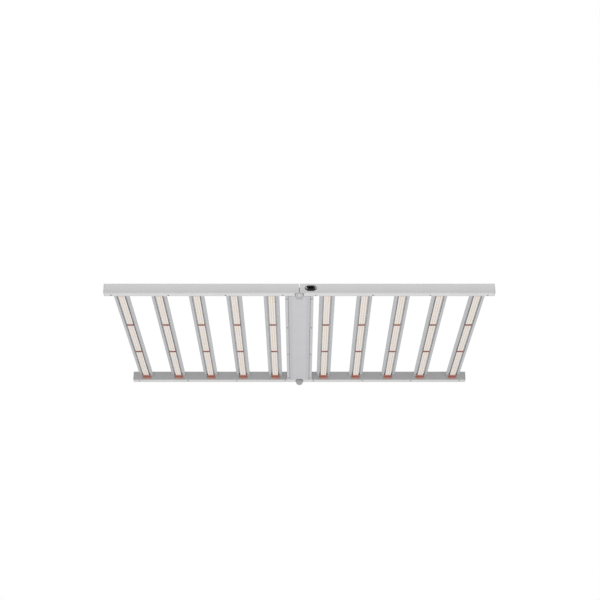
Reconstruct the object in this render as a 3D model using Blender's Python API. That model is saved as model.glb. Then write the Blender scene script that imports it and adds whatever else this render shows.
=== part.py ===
"""Folding LED grow light: ten finned LED bars between split rails, with a driver box over the fold.

Metres, +Z up. X runs along the rails, Y runs along the bars, and the front is at -Y.
The origin is below the middle of the light, level with the lowest point of the hinge knuckles.
The right wing carries the driver box and the power inlet. The left wing folds down and under it.
"""

import math

import bmesh
import bpy

# Overall size
LIGHT_WIDTH = 1.700
LIGHT_DEPTH = 1.100

# Gaps between pieces
SEAT_GAP = 0.0003
TURN_GAP = 0.00035
FOLD_GAP = 0.003

# Rails: channels open below, closed by screwed covers and end caps
RAIL_WIDTH = 0.034
RAIL_HEIGHT = 0.045
RAIL_WALL = 0.0025
RAIL_CORNER = 0.0012
COVER_THICKNESS = 0.002
OUTER_LEDGE = 0.003
SCREW_LEDGE = 0.0125
LEDGE_THICKNESS = 0.003
END_CAP_THICKNESS = 0.0025
END_CAP_PLUG = 0.006
SCREW_HOLE_RADIUS = 0.0022
WIRE_HOLE_RADIUS = 0.003
LEAD_HOLE_RADIUS = 0.006
LEAD_HOLE_X = 0.040

# Bars: finned extrusions with sloping flanges and a plate for the LED board between two grooves
BARS_PER_WING = 5
FIRST_BAR_X = 0.1225
END_BAR_INSET = 0.0695
BAR_RISE = 0.0195
BAR_WIDTH = 0.0693
BAR_HEIGHT = 0.025
FLANGE_TIP = 0.002
FLANGE_ROOT = 0.003
FLANGE_CORNER = 0.0008
FLANGE_DROP = 0.0047
PLATE_DROP = 0.0015
PLATE_THICKNESS = 0.003
GROOVE_WIDTH = 0.007
GROOVE_RISE = 0.0033
GROOVE_ROOF = 0.0022
FINS_PER_SIDE = 3
FIN_PITCH = 0.0065
FIN_ROOT = 0.0022
FIN_TIP = 0.0014
PORT_RADIUS = 0.0018
PORT_MOUTH = 0.0022
PORT_LIP = 0.001

# LED boards, and silicone seals with a pad behind the board, straps at its joints and end plugs
BOARD_WIDTH = 0.028
BOARD_THICKNESS = 0.0016
BOARD_END_GAP = 0.002
BOARD_SECTIONS = 3
PAD_INSET = 0.0005
PAD_THICKNESS = 0.0008
TIE_INSET = 0.0002
STRAP_LENGTH = 0.011
STRAP_LEG = 0.0014
STRAP_THICKNESS = 0.0022
PLUG_LENGTH = 0.029
PLUG_THICKNESS = 0.0018
PLUG_STEP = 0.0155
PLUG_STEP_THICKNESS = 0.0062

# Fold hinges: a large front knuckle on the left wing and a small back knuckle on the right wing
HINGE_DROP = 0.010
KNUCKLE_RADIUS = 0.017
KNUCKLE_LENGTH = 0.012
BACK_KNUCKLE_RADIUS = 0.0085
BACK_KNUCKLE_LENGTH = 0.0085
KNUCKLE_CHAMFER = 0.001
KNUCKLE_SETBACK = 0.0028
KNUCKLE_PROUD = 0.004
KNUCKLE_GAP = 0.0004
LEAF_LENGTH = 0.032
LEAF_HEADROOM = 0.002
ARM_FLARE = 0.001
POCKET_MARGIN = 0.001
NOTCH_MARGIN = 0.001
COVER_NOTCH = 0.010
PIN_RADIUS = 0.005
PIN_HEAD_RADIUS = 0.0092
PIN_HEAD_HEIGHT = 0.002
PIN_POINT = 0.001
NUT_FLATS = 0.015
NUT_HEIGHT = 0.005

# Driver box: a cover with a pressed bead along each flange, under a ribbed housing
BOX_WIDTH = 0.125
BOX_PANEL_WIDTH = 0.095
BOX_HEIGHT = 0.048
BOX_END_GAP = 0.001
COVER_SHEET = 0.0015
COVER_BEND = 0.0008
BEAD_WIDTH = 0.002
BEAD_DEPTH = 0.005
HOUSING_WALL = 0.002
HOUSING_SETBACK = 0.012
RIB_COUNT = 9
RIB_HEIGHT = 0.003
RIB_THICKNESS = 0.002
END_PLATE_THICKNESS = 0.002
PAD_WIDTH = 0.024
PAD_MARGIN = 0.006
DRIVER_WIDTH = 0.080
DRIVER_HEIGHT = 0.034
DRIVER_LENGTH = 0.420
DRIVER_CORNER = 0.004

# Power inlet: a flanged three-pin appliance inlet
INLET_X = 0.050
INLET_FLANGE_WIDTH = 0.050
INLET_FLANGE_HEIGHT = 0.025
INLET_FLANGE_THICKNESS = 0.0025
INLET_END_HEIGHT = 0.0075
INLET_CORNER = 0.0035
INLET_BODY_WIDTH = 0.027
INLET_BODY_HEIGHT = 0.0195
INLET_BODY_DEPTH = 0.021
SOCKET_WALL = 0.0015
SOCKET_DEPTH = 0.017
SOCKET_CHAMFER = 0.004
PIN_THICKNESS = 0.002
PIN_WIDTH = 0.004
PIN_RECESS = 0.0046
PIN_SPREAD = 0.007
PIN_OFFSET = 0.002

# Hanging points: threaded inserts in the rails' top walls
INSERT_BODY_RADIUS = 0.007
INSERT_PILOT_RADIUS = 0.0046
INSERT_BORE_RADIUS = 0.003
INSERT_DEPTH = 0.009

# Facets
ARC_STEPS = 3
ROUND_STEPS = 28
SMALL_STEPS = 16
SCREW_STEPS = 8
SHARP_ANGLE = math.radians(35)
OVERCUT = 0.001

# Places worked out from the driving dimensions
HINGE_Z = KNUCKLE_RADIUS
RAIL_Z = HINGE_Z + HINGE_DROP
RAIL_END = LIGHT_WIDTH / 2 - END_CAP_THICKNESS - SEAT_GAP
INNER_FACE_Y = LIGHT_DEPTH / 2 - RAIL_WIDTH
BAR_HALF = INNER_FACE_Y - SEAT_GAP
BAR_Z = RAIL_Z + BAR_RISE
LAST_BAR_X = LIGHT_WIDTH / 2 - END_BAR_INSET
BAR_PITCH = (LAST_BAR_X - FIRST_BAR_X) / (BARS_PER_WING - 1)
HANG_X = LAST_BAR_X - BAR_PITCH / 2
LEDGE_BOTTOM = COVER_THICKNESS + SEAT_GAP
LEDGE_TOP = LEDGE_BOTTOM + LEDGE_THICKNESS
PLATE_TOP = PLATE_THICKNESS - PLATE_DROP
ROOF_TOP = GROOVE_RISE + GROOVE_ROOF
PLATE_HALF = FIN_PITCH * (FINS_PER_SIDE - 1) + FIN_ROOT / 2
GROOVE_HALF = PLATE_HALF + GROOVE_WIDTH
PORT_X = FIN_PITCH * (FINS_PER_SIDE - 1.5)
PORT_UP = PLATE_TOP + PORT_RADIUS
WIRE_X = PLATE_HALF + GROOVE_WIDTH / 2
WIRE_UP = (GROOVE_RISE - FLANGE_DROP) / 2
PAD_TOP = -PLATE_DROP - SEAT_GAP
PAD_BOTTOM = PAD_TOP - PAD_THICKNESS
BOARD_BACK = PAD_BOTTOM - SEAT_GAP
BOARD_FACE = BOARD_BACK - BOARD_THICKNESS
POCKET = KNUCKLE_RADIUS + ARM_FLARE + POCKET_MARGIN
KNUCKLE_END = RAIL_WIDTH + KNUCKLE_PROUD
KNUCKLES_LENGTH = KNUCKLE_LENGTH + BACK_KNUCKLE_LENGTH
LEAF_FLOOR = KNUCKLE_RADIUS - HINGE_DROP + LEAF_HEADROOM
BOX_HALF = INNER_FACE_Y - BOX_END_GAP
HOUSING_HALF = INNER_FACE_Y - HOUSING_SETBACK
PANEL_HALF = BOX_PANEL_WIDTH / 2
BEAD_OUTSIDE = PANEL_HALF + BEAD_WIDTH + COVER_SHEET
BEAD_TOP = BEAD_DEPTH + COVER_SHEET
HOUSING_SIDE = BEAD_OUTSIDE + SEAT_GAP + HOUSING_WALL
FLANGE_LEVEL = COVER_SHEET + SEAT_GAP
INLET_UP = RAIL_HEIGHT / 2

# Finishes: base colour, roughness, metallic
FINISHES = {
    "silver_paint": ((0.56, 0.56, 0.57), 0.45, 0.4),
    "anodised": ((0.50, 0.51, 0.53), 0.40, 0.7),
    "led_board": ((0.75, 0.70, 0.60), 0.55, 0.0),
    "red_silicone": ((0.30, 0.09, 0.06), 0.60, 0.0),
    "zinc_steel": ((0.48, 0.48, 0.48), 0.35, 0.9),
    "driver_case": ((0.30, 0.31, 0.32), 0.50, 0.3),
    "black_plastic": ((0.012, 0.012, 0.013), 0.50, 0.0),
}

WINGS = {"left": -1, "right": 1}
SIDES = {"front": -1, "rear": 1}
KNUCKLES = {"left": KNUCKLE_RADIUS, "right": BACK_KNUCKLE_RADIUS}


def clear_scene():
    """Removes every object, so that the script starts from nothing."""
    for item in list(bpy.data.objects):
        bpy.data.objects.remove(item, do_unlink=True)


def make_finish(name):
    """A Principled material for one finish."""
    colour, roughness, metallic = FINISHES[name]
    finish = bpy.data.materials.new(name)
    finish.use_nodes = True
    shader = finish.node_tree.nodes["Principled BSDF"]
    shader.inputs["Base Color"].default_value = (*colour, 1.0)
    shader.inputs["Roughness"].default_value = roughness
    shader.inputs["Metallic"].default_value = metallic
    finish.diffuse_color = (*colour, 1.0)
    return finish


def rounded(corners):
    """An outline from (u, v, radius) corners, with an arc at each corner that has a radius."""
    outline = []
    for index, (u, v, radius) in enumerate(corners):
        if radius == 0:
            outline.append((u, v))
            continue
        before = corners[index - 1]
        after = corners[(index + 1) % len(corners)]
        turn_in = math.atan2(before[1] - v, before[0] - u)
        turn_out = math.atan2(after[1] - v, after[0] - u)
        opening = (turn_out - turn_in + math.pi) % (2 * math.pi) - math.pi
        middle = turn_in + opening / 2
        reach = radius / abs(math.sin(opening / 2))
        centre = (u + reach * math.cos(middle), v + reach * math.sin(middle))
        sweep = math.copysign(math.pi, opening) - opening
        for step in range(ARC_STEPS + 1):
            angle = middle + math.pi + sweep * (0.5 - step / ARC_STEPS)
            outline.append((centre[0] + radius * math.cos(angle), centre[1] + radius * math.sin(angle)))
    return outline


def rectangle(u_low, u_high, v_low, v_high, radius=0):
    """A rectangle as an outline, with rounded corners if a radius is given."""
    corners = [(u_low, v_low), (u_high, v_low), (u_high, v_high), (u_low, v_high)]
    return rounded([(u, v, radius) for u, v in corners])


def mirrored_outline(half):
    """A closed outline from its right half, listed from the middle round to the middle."""
    return half + [(-u, v) for u, v in reversed(half)]


def mesh_from(shape):
    """A mesh from a finished bmesh."""
    mesh = bpy.data.meshes.new("shape")
    shape.to_mesh(mesh)
    shape.free()
    return mesh


def skin(rings):
    """A closed mesh through rings of equally many points, with a flat cap at each end."""
    shape = bmesh.new()
    layers = [[shape.verts.new(point) for point in ring] for ring in rings]
    for lower, upper in zip(layers, layers[1:]):
        for index in range(len(lower)):
            following = (index + 1) % len(lower)
            shape.faces.new((lower[index], lower[following], upper[following], upper[index]))
    shape.faces.new(layers[0])
    shape.faces.new(layers[-1])
    bmesh.ops.recalc_face_normals(shape, faces=shape.faces)
    return mesh_from(shape)


def prism(outline, axis, low, high):
    """An outline carried straight along an axis: (y, z) on x, (x, z) on y or (x, y) on z."""
    place = {
        "x": lambda u, v, w: (w, u, v),
        "y": lambda u, v, w: (u, w, v),
        "z": lambda u, v, w: (u, v, w),
    }[axis]
    return skin([[place(u, v, level) for u, v in outline] for level in (low, high)])


def turned(stations, axis, centre=(0, 0), steps=ROUND_STEPS):
    """A round solid from (radius, level) stations along y or z, about a centre on the other axes."""
    rings = []
    for radius, level in stations:
        ring = []
        for step in range(steps):
            angle = 2 * math.pi * (step + 0.5) / steps
            u = centre[0] + radius * math.cos(angle)
            v = centre[1] + radius * math.sin(angle)
            ring.append((u, level, v) if axis == "y" else (u, v, level))
        rings.append(ring)
    return skin(rings)


def combine(base, operation, tools):
    """Joins tool meshes to a base mesh with UNION, or cuts them out with DIFFERENCE, all in one step."""
    work = bpy.data.objects.new("work", base)
    bpy.context.scene.collection.objects.link(work)
    helpers = bpy.data.collections.new("helpers")
    bpy.context.scene.collection.children.link(helpers)
    for tool in tools:
        helpers.objects.link(bpy.data.objects.new("helper", tool))
    step = work.modifiers.new("combine", "BOOLEAN")
    step.operation = operation
    step.solver = "EXACT"
    step.operand_type = "COLLECTION"
    step.collection = helpers
    graph = bpy.context.evaluated_depsgraph_get()
    result = bpy.data.meshes.new_from_object(work.evaluated_get(graph))
    for item in [work, *helpers.objects]:
        bpy.data.objects.remove(item, do_unlink=True)
    bpy.data.collections.remove(helpers)
    return result


def join(base, *tools):
    """The union of a base mesh and tool meshes."""
    return combine(base, "UNION", tools)


def cut(base, *tools):
    """A base mesh with tool meshes cut out of it."""
    return combine(base, "DIFFERENCE", tools)


def handed(mesh, wing, side):
    """A corner's mesh, drawn as (outward from the fold, inward from the outer face, up), in place."""
    shape = bmesh.new()
    shape.from_mesh(mesh)
    for vertex in shape.verts:
        vertex.co.x *= WINGS[wing]
        vertex.co.y *= -SIDES[side]
    is_mirrored = WINGS[wing] * -SIDES[side] < 0
    if is_mirrored:
        bmesh.ops.reverse_faces(shape, faces=shape.faces)
    return mesh_from(shape)


class Assembly:
    """Adds named pieces to the two wings, whose empties lie on the fold axis."""

    def __init__(self):
        self.finishes = {name: make_finish(name) for name in FINISHES}
        self.wings = {}
        for wing in WINGS:
            empty = bpy.data.objects.new(f"{wing}_wing_axis", None)
            empty.location = (0, 0, HINGE_Z)
            bpy.context.scene.collection.objects.link(empty)
            self.wings[wing] = empty

    def add(self, name, mesh, finish, wing, place):
        """A piece of a wing, with its own origin at a place in the light's frame."""
        mesh.name = name
        mesh.materials.clear()
        mesh.materials.append(self.finishes[finish])
        mesh.shade_smooth()
        mesh.set_sharp_from_angle(angle=SHARP_ANGLE)
        piece = bpy.data.objects.new(name, mesh)
        piece.parent = self.wings[wing]
        piece.location = (place[0], place[1], place[2] - HINGE_Z)
        bpy.context.scene.collection.objects.link(piece)

    def add_corner(self, name, mesh, finish, wing, side):
        """A piece of one rail, drawn in that corner's own directions."""
        place = (0, SIDES[side] * LIGHT_DEPTH / 2, RAIL_Z)
        self.add(f"{wing}_{side}_{name}", handed(mesh, wing, side), finish, wing, place)


def bar_places():
    """The bars' distances from the fold line on one wing."""
    return [FIRST_BAR_X + BAR_PITCH * index for index in range(BARS_PER_WING)]


def rail_outline():
    """The rail's section as (inward, up): two walls and a top, with ledges for the cover."""
    outer = RAIL_WALL
    inner = RAIL_WIDTH - RAIL_WALL
    return rounded([
        (0, 0, RAIL_CORNER),
        (0, RAIL_HEIGHT, RAIL_CORNER),
        (RAIL_WIDTH, RAIL_HEIGHT, RAIL_CORNER),
        (RAIL_WIDTH, 0, RAIL_CORNER),
        (inner, 0, 0),
        (inner, LEDGE_BOTTOM, 0),
        (inner - SCREW_LEDGE, LEDGE_BOTTOM, 0),
        (inner - SCREW_LEDGE, LEDGE_TOP, 0),
        (inner, LEDGE_TOP, 0),
        (inner, RAIL_HEIGHT - RAIL_WALL, 0),
        (outer, RAIL_HEIGHT - RAIL_WALL, 0),
        (outer, LEDGE_TOP, 0),
        (outer + OUTER_LEDGE, LEDGE_TOP, 0),
        (outer + OUTER_LEDGE, LEDGE_BOTTOM, 0),
        (outer, LEDGE_BOTTOM, 0),
        (outer, 0, 0),
    ])


def inner_wall_drill(x, up, radius, steps=SMALL_STEPS):
    """A round cutter through the rail's inner wall."""
    low = RAIL_WIDTH - RAIL_WALL - OVERCUT
    return turned([(radius, low), (radius, RAIL_WIDTH + OVERCUT)], "y", (x, up), steps)


def knuckle_notch(low, high):
    """A round cutter that clears the large knuckle, between two levels along Y."""
    radius = KNUCKLE_RADIUS + NOTCH_MARGIN
    return turned([(radius, low), (radius, high)], "y", (0, -HINGE_DROP))


def knuckle_span(wing, side):
    """A knuckle's ends, inward from the rail's outer face. The left wing's one is always in front."""
    near, far = 0, KNUCKLE_LENGTH - KNUCKLE_GAP / 2
    if wing == "right":
        near, far = KNUCKLE_LENGTH + KNUCKLE_GAP / 2, KNUCKLES_LENGTH
    if side == "front":
        return KNUCKLE_SETBACK + near, KNUCKLE_SETBACK + far
    return KNUCKLE_END - far, KNUCKLE_END - near


def make_rail(wing, side):
    """One half rail, with its hinge pocket, wire, screw and hanging holes and any inlet window."""
    rail = prism(rail_outline(), "x", FOLD_GAP / 2, RAIL_END)
    pocket = prism(
        rectangle(RAIL_WALL - SEAT_GAP, RAIL_WIDTH - RAIL_WALL, -OVERCUT, LEDGE_TOP + OVERCUT),
        "x", 0, POCKET)
    wires = [
        inner_wall_drill(x + WIRE_X, BAR_RISE + WIRE_UP, WIRE_HOLE_RADIUS) for x in bar_places()]
    screws = [
        inner_wall_drill(x + offset, BAR_RISE + PORT_UP, SCREW_HOLE_RADIUS, SCREW_STEPS)
        for x in bar_places() for offset in (-PORT_X, PORT_X)]
    hang_radius = INSERT_PILOT_RADIUS + SEAT_GAP
    hang = turned(
        [(hang_radius, RAIL_HEIGHT - RAIL_WALL - OVERCUT), (hang_radius, RAIL_HEIGHT + OVERCUT)],
        "z", (HANG_X, RAIL_WIDTH / 2), SMALL_STEPS)
    cutters = [pocket, *wires, *screws, hang]
    if side == "rear":
        cutters.append(knuckle_notch(RAIL_WIDTH - RAIL_WALL - OVERCUT, RAIL_WIDTH + OVERCUT))
    if wing == "right":
        cutters.append(inner_wall_drill(LEAD_HOLE_X, lead_hole_up(), LEAD_HOLE_RADIUS))
    if wing == "right" and side == "front":
        half_width = INLET_BODY_WIDTH / 2 + SEAT_GAP
        half_height = INLET_BODY_HEIGHT / 2 + SEAT_GAP
        window = rectangle(
            INLET_X - half_width, INLET_X + half_width, INLET_UP - half_height, INLET_UP + half_height)
        cutters.append(prism(window, "y", -OVERCUT, RAIL_WALL + OVERCUT))
    return cut(rail, *cutters)


def make_rail_cover():
    """The plate that closes a rail from below, seated on its ledges and ending beside the knuckles."""
    inset = RAIL_WALL + SEAT_GAP
    outline = rectangle(POCKET + SEAT_GAP, RAIL_END - SEAT_GAP, inset, RAIL_WIDTH - inset)
    return prism(outline, "z", 0, COVER_THICKNESS)


def make_end_cap():
    """The plate that closes a rail's outer end, with a plug that goes into the rail."""
    plate = prism(
        rectangle(0, RAIL_WIDTH, 0, RAIL_HEIGHT, RAIL_CORNER), "x", RAIL_END + SEAT_GAP, LIGHT_WIDTH / 2)
    inset = RAIL_WALL + SEAT_GAP
    plug = prism(
        rectangle(inset, RAIL_WIDTH - inset, LEDGE_TOP + SEAT_GAP, RAIL_HEIGHT - inset),
        "x", RAIL_END - END_CAP_PLUG, RAIL_END + END_CAP_THICKNESS / 2)
    return join(plate, plug)


def make_insert():
    """A threaded insert clinched into the rail's top wall from inside, with its pilot below flush."""
    shoulder = RAIL_HEIGHT - RAIL_WALL - SEAT_GAP
    top = RAIL_HEIGHT - SEAT_GAP
    bottom = shoulder - INSERT_DEPTH
    centre = (HANG_X, RAIL_WIDTH / 2)
    outside = [
        (INSERT_BODY_RADIUS, bottom),
        (INSERT_BODY_RADIUS, shoulder),
        (INSERT_PILOT_RADIUS, shoulder),
        (INSERT_PILOT_RADIUS, top),
    ]
    bore = [(INSERT_BORE_RADIUS, bottom - OVERCUT), (INSERT_BORE_RADIUS, top + OVERCUT)]
    return cut(turned(outside, "z", centre, SMALL_STEPS), turned(bore, "z", centre, SMALL_STEPS))


def make_leaf(wing, side):
    """A hinge leaf: a block inside the rail's end, an arm down from it and one knuckle."""
    radius = KNUCKLES[wing]
    inset = RAIL_WALL + SEAT_GAP
    start = FOLD_GAP / 2 + SEAT_GAP
    block = prism(
        rectangle(inset, RAIL_WIDTH - inset, LEAF_FLOOR, RAIL_HEIGHT - inset), "x", start, LEAF_LENGTH)
    low, high = knuckle_span(wing, side)
    stations = [
        (radius - KNUCKLE_CHAMFER, low),
        (radius, low + KNUCKLE_CHAMFER),
        (radius, high - KNUCKLE_CHAMFER),
        (radius - KNUCKLE_CHAMFER, high),
    ]
    arm_low, arm_high = low + KNUCKLE_CHAMFER, min(high - KNUCKLE_CHAMFER, RAIL_WIDTH - inset)
    centre = (0, -HINGE_DROP)
    arm_outline = [
        (start, -HINGE_DROP),
        (radius - OVERCUT, -HINGE_DROP),
        (radius + ARM_FLARE, LEAF_FLOOR + OVERCUT),
        (start, LEAF_FLOOR + OVERCUT),
    ]
    arm = prism(arm_outline, "y", arm_low, arm_high)
    hole_radius = PIN_RADIUS + TURN_GAP
    hole = turned([(hole_radius, low - OVERCUT), (hole_radius, high + OVERCUT)], "y", centre)
    return cut(join(block, arm, turned(stations, "y", centre)), hole)


def make_hinge_pin():
    """A round-headed hinge pin, drawn back from the front face of the knuckles."""
    shoulder = -SEAT_GAP
    face = shoulder - PIN_HEAD_HEIGHT
    end = KNUCKLES_LENGTH + 2 * SEAT_GAP + NUT_HEIGHT + PIN_POINT
    stations = [
        (PIN_HEAD_RADIUS - PIN_HEAD_HEIGHT / 2, face),
        (PIN_HEAD_RADIUS, face + PIN_HEAD_HEIGHT / 2),
        (PIN_HEAD_RADIUS, shoulder),
        (PIN_RADIUS, shoulder),
        (PIN_RADIUS, end - PIN_POINT),
        (PIN_RADIUS - PIN_POINT, end),
    ]
    return turned(stations, "y", (0, -HINGE_DROP))


def make_hinge_nut():
    """A hexagonal nut on the pin's back end."""
    low = KNUCKLES_LENGTH + SEAT_GAP
    corner = NUT_FLATS / math.sqrt(3)
    centre = (0, -HINGE_DROP)
    nut = turned([(corner, low), (corner, low + NUT_HEIGHT)], "y", centre, 6)
    hole_radius = PIN_RADIUS + TURN_GAP
    hole = turned([(hole_radius, low - OVERCUT), (hole_radius, low + NUT_HEIGHT + OVERCUT)], "y", centre)
    return cut(nut, hole)


def screw_port(across):
    """A round port for an end screw, open at its top between two fins, listed from right to left."""
    mouth = PORT_MOUTH / 2
    start = math.acos(mouth / PORT_RADIUS)
    sweep = math.pi + 2 * start
    rim = PORT_UP + PORT_RADIUS * math.sin(start) + PORT_LIP
    lean = (FIN_ROOT - FIN_TIP) / 2 * (rim - PLATE_TOP) / (BAR_HEIGHT - PLATE_TOP)
    wall = (FIN_PITCH - FIN_ROOT) / 2 + lean
    arc = []
    for step in range(SCREW_STEPS + 1):
        angle = start - sweep * step / SCREW_STEPS
        arc.append((across + PORT_RADIUS * math.cos(angle), PORT_UP + PORT_RADIUS * math.sin(angle)))
    return [
        (across + wall, rim), (across + mouth, rim), *arc, (across - mouth, rim), (across - wall, rim)]


def fin_place(index):
    """A fin's distance from the bar's middle. The last on each side stands over a groove's outer wall."""
    if abs(index) == FINS_PER_SIDE:
        return math.copysign(GROOVE_HALF + FIN_ROOT / 2, index)
    return FIN_PITCH * index


def bar_outline():
    """The bar's section as (across, up): flanges, grooves and the board's plate, with fins above."""
    flange = rounded([
        (GROOVE_HALF, -FLANGE_DROP, 0),
        (BAR_WIDTH / 2, 0, FLANGE_CORNER),
        (BAR_WIDTH / 2, FLANGE_TIP, FLANGE_CORNER),
        (GROOVE_HALF + FIN_ROOT, FLANGE_ROOT - FLANGE_DROP, 0),
    ])
    half = [(PLATE_HALF, -PLATE_DROP), (PLATE_HALF, GROOVE_RISE), (GROOVE_HALF, GROOVE_RISE), *flange]
    fins = []
    for index in range(FINS_PER_SIDE, -FINS_PER_SIDE - 1, -1):
        middle = fin_place(index)
        fins.extend([(middle + FIN_TIP / 2, BAR_HEIGHT), (middle - FIN_TIP / 2, BAR_HEIGHT)])
        if index == -FINS_PER_SIDE:
            break
        gap_right, gap_left = middle - FIN_ROOT / 2, fin_place(index - 1) + FIN_ROOT / 2
        gap_middle = (gap_right + gap_left) / 2
        if abs(gap_middle) > PLATE_HALF:
            fins.extend([(gap_right, ROOF_TOP), (gap_left, ROOF_TOP)])
        elif abs(gap_middle) > PORT_X - FIN_PITCH / 2:
            fins.extend(screw_port(gap_middle))
        else:
            fins.extend([(gap_right, PLATE_TOP), (gap_left, PLATE_TOP)])
    return half + fins + [(-u, v) for u, v in reversed(half)]


def make_bar():
    """One finned bar, which spans between the rails' inner faces."""
    return prism(bar_outline(), "y", -BAR_HALF, BAR_HALF)


def make_led_board():
    """The LED board strip that lies against the plate."""
    half = BOARD_WIDTH / 2
    end = BAR_HALF - BOARD_END_GAP
    return prism(rectangle(-half, half, BOARD_FACE, BOARD_BACK), "y", -end, end)


def seal_sleeve(low, high, reach, thickness, top):
    """A stretch of the seal that wraps the board: a block below with sides, tied to the pad behind."""
    inside = PLATE_HALF + SEAT_GAP
    under = BOARD_FACE - SEAT_GAP
    outline = mirrored_outline([(reach, under - thickness), (reach, top), (inside, top), (inside, under)])
    tie = inside + STRAP_LEG / 2
    tie_outline = rectangle(-tie, tie, PAD_BOTTOM + TIE_INSET, PAD_TOP - TIE_INSET)
    return [
        prism(outline, "y", low, high), prism(tie_outline, "y", low + TIE_INSET, high - TIE_INSET)]


def make_seal():
    """The seal: a pad behind the board, straps over the board's joints and stepped end plugs."""
    end = BAR_HALF - SEAT_GAP
    plug = BAR_HALF - PLUG_LENGTH
    pad_half = BOARD_WIDTH / 2 - PAD_INSET
    pad = prism(rectangle(-pad_half, pad_half, PAD_BOTTOM, PAD_TOP), "y", SEAT_GAP - end, end - SEAT_GAP)
    sleeves = []
    strap_reach = PLATE_HALF + SEAT_GAP + STRAP_LEG
    strap_top = PAD_TOP + STRAP_LEG / 2
    section = (2 * plug - (BOARD_SECTIONS - 1) * STRAP_LENGTH) / BOARD_SECTIONS
    for number in range(1, BOARD_SECTIONS):
        low = section * number + STRAP_LENGTH * (number - 1) - plug
        sleeves += seal_sleeve(low, low + STRAP_LENGTH, strap_reach, STRAP_THICKNESS, strap_top)
    plug_reach = GROOVE_HALF - SEAT_GAP
    step_reach = plug_reach - TIE_INSET
    under = BOARD_FACE - SEAT_GAP
    step = rectangle(-step_reach, step_reach, under - PLUG_STEP_THICKNESS, under - PLUG_THICKNESS / 2)
    for sign in (-1, 1):
        span = sorted((sign * plug, sign * end))
        sleeves += seal_sleeve(*span, plug_reach, PLUG_THICKNESS, GROOVE_RISE - SEAT_GAP)
        step_span = sorted((sign * (BAR_HALF - PLUG_STEP), sign * (end - TIE_INSET)))
        sleeves.append(prism(step, "y", *step_span))
    return join(pad, *sleeves)


def lead_hole_up():
    """The height above the rails' underside of the hole for the driver's leads."""
    return (FLANGE_LEVEL + BOX_HEIGHT) / 2


def make_driver_cover():
    """The driver box's cover, level with the rails' undersides, beaded, and notched at the rear hinge."""
    half = BOX_WIDTH / 2
    sheet = COVER_SHEET
    outside = PANEL_HALF + BEAD_WIDTH
    right = rounded([
        (0, 0, 0),
        (PANEL_HALF, 0, COVER_BEND),
        (PANEL_HALF, BEAD_DEPTH, 0),
        (outside, BEAD_DEPTH, 0),
        (outside, 0, COVER_BEND),
        (half, 0, 0),
        (half, sheet, 0),
        (BEAD_OUTSIDE, sheet, 0),
        (BEAD_OUTSIDE, BEAD_TOP, 0),
        (PANEL_HALF - sheet, BEAD_TOP, 0),
        (PANEL_HALF - sheet, sheet, 0),
        (0, sheet, 0),
    ])
    cover = prism(mirrored_outline(right[1:-1]), "y", -BOX_HALF, BOX_HALF)
    return cut(cover, knuckle_notch(INNER_FACE_Y - COVER_NOTCH, INNER_FACE_Y))


def make_driver_housing():
    """The driver box's ribbed upper housing, flanged where the cover is screwed to it."""
    half = BOX_WIDTH / 2
    deck = BOX_HEIGHT - RIB_HEIGHT
    flange_top = FLANGE_LEVEL + HOUSING_WALL
    inside = HOUSING_SIDE - HOUSING_WALL
    pitch = (2 * HOUSING_SIDE - RIB_THICKNESS) / (RIB_COUNT - 1)
    ribs = []
    for index in range(RIB_COUNT):
        right = HOUSING_SIDE - pitch * index
        left = right - RIB_THICKNESS
        ribs.extend([(right, deck), (right, BOX_HEIGHT), (left, BOX_HEIGHT), (left, deck)])
    lower = [
        (inside, deck - HOUSING_WALL),
        (inside, FLANGE_LEVEL),
        (half, FLANGE_LEVEL),
        (half, flange_top),
        (HOUSING_SIDE, flange_top),
    ]
    outline = lower + ribs[1:-1] + [(-u, v) for u, v in reversed(lower)]
    return prism(outline, "y", -HOUSING_HALF, HOUSING_HALF)


def make_end_plate(side):
    """A plate on the housing's end, with a pad that bolts it to the right wing's rail."""
    inset = PANEL_HALF - COVER_SHEET - SEAT_GAP
    outline = mirrored_outline([
        (inset, FLANGE_LEVEL),
        (inset, BEAD_TOP + SEAT_GAP),
        (HOUSING_SIDE, BEAD_TOP + SEAT_GAP),
        (HOUSING_SIDE, BOX_HEIGHT),
    ])
    sign = SIDES[side]
    near = HOUSING_HALF + SEAT_GAP
    far = near + END_PLATE_THICKNESS
    plate = prism(outline, "y", *sorted((sign * near, sign * far)))
    pad_low = LEAD_HOLE_X - PAD_WIDTH / 2
    pad_outline = rectangle(
        pad_low, pad_low + PAD_WIDTH, FLANGE_LEVEL + PAD_MARGIN, RAIL_HEIGHT - PAD_MARGIN)
    pad = prism(
        pad_outline, "y",
        *sorted((sign * (near + END_PLATE_THICKNESS / 2), sign * (INNER_FACE_Y - SEAT_GAP))))
    ends = sorted((sign * (near - OVERCUT), sign * (INNER_FACE_Y + OVERCUT)))
    drill = turned(
        [(LEAD_HOLE_RADIUS, level) for level in ends], "y", (LEAD_HOLE_X, lead_hole_up()), SMALL_STEPS)
    return cut(join(plate, pad), drill)


def make_led_driver():
    """The potted LED driver, hung from the housing's deck."""
    top = BOX_HEIGHT - RIB_HEIGHT - HOUSING_WALL - SEAT_GAP
    half = DRIVER_WIDTH / 2
    outline = rectangle(-half, half, top - DRIVER_HEIGHT, top, DRIVER_CORNER)
    return prism(outline, "y", -DRIVER_LENGTH / 2, DRIVER_LENGTH / 2)


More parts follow.
